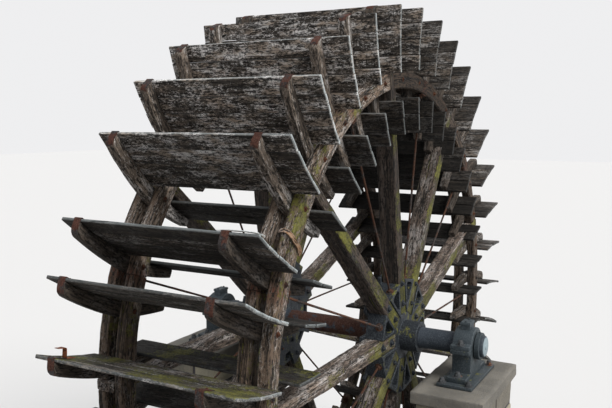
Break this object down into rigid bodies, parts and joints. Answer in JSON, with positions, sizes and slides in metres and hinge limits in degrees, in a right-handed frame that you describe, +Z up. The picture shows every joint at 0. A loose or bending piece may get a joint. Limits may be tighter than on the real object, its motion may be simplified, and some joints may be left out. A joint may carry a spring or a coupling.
{
  "type": "undershot mill water wheel",
  "caption": "Large undershot timber water wheel with twin felloe rims, curved starts and bent paddle boards, iron hubs and shaft, turning in plummer blocks on two masonry piers.",
  "frame": {"origin": "on the bed of the race, straight below the middle of the wheel shaft", "axes": "+X along the race, downstream; +Y along the shaft, from the near bearing to the far one; +Z up"},
  "size_m": [8.0115, 4.52, 8.1866],
  "materials": {
    "masonry": "rough stone blocks with lime joints, damp and mossy low down",
    "painted_iron": "worn grey-green paint over cast iron",
    "rusty_iron": "orange-brown rust",
    "dark_iron": "dark cast iron with rust in the corners",
    "weathered_oak": "weathered dark oak with silver-grey streaks and moss"
  },
  "bodies": {
    "piers": {"pier_near": "masonry", "cap_stone_near": "masonry", "sole_plate_near": "painted_iron", "bearing_base_near": "painted_iron", "bearing_cap_near": "painted_iron", "bearing_bolts_near": "rusty_iron", "pier_far": "masonry", "cap_stone_far": "masonry", "sole_plate_far": "painted_iron", "bearing_base_far": "painted_iron", "bearing_cap_far": "painted_iron", "bearing_bolts_far": "rusty_iron"},
    "wheel": {"shaft": "dark_iron", "end_collars": "dark_iron", "hub_near": "dark_iron", "spokes_near": "weathered_oak", "tie_rods_near": "rusty_iron", "outer_felloes_near": "weathered_oak", "inner_felloes_near": "weathered_oak", "starts_near": "weathered_oak", "tip_straps_near": "rusty_iron", "hub_far": "dark_iron", "spokes_far": "weathered_oak", "tie_rods_far": "rusty_iron", "outer_felloes_far": "weathered_oak", "inner_felloes_far": "weathered_oak", "starts_far": "weathered_oak", "tip_straps_far": "rusty_iron", "outer_boards_1": "weathered_oak", "inner_boards_1": "weathered_oak", "outer_boards_2": "weathered_oak", "inner_boards_2": "weathered_oak", "outer_boards_3": "weathered_oak", "inner_boards_3": "weathered_oak", "outer_boards_4": "weathered_oak", "inner_boards_4": "weathered_oak", "outer_boards_5": "weathered_oak", "inner_boards_5": "weathered_oak", "outer_boards_6": "weathered_oak", "inner_boards_6": "weathered_oak", "outer_boards_7": "weathered_oak", "inner_boards_7": "weathered_oak", "outer_boards_8": "weathered_oak", "inner_boards_8": "weathered_oak", "outer_boards_9": "weathered_oak", "inner_boards_9": "weathered_oak"}
  },
  "joints": [
    {"name": "wheel_turn", "type": "hinge", "parent": "piers", "child": "wheel", "pos_m": [0, 0, 4.18], "axis": [0, 1, 0], "continuous": true}
  ]
}
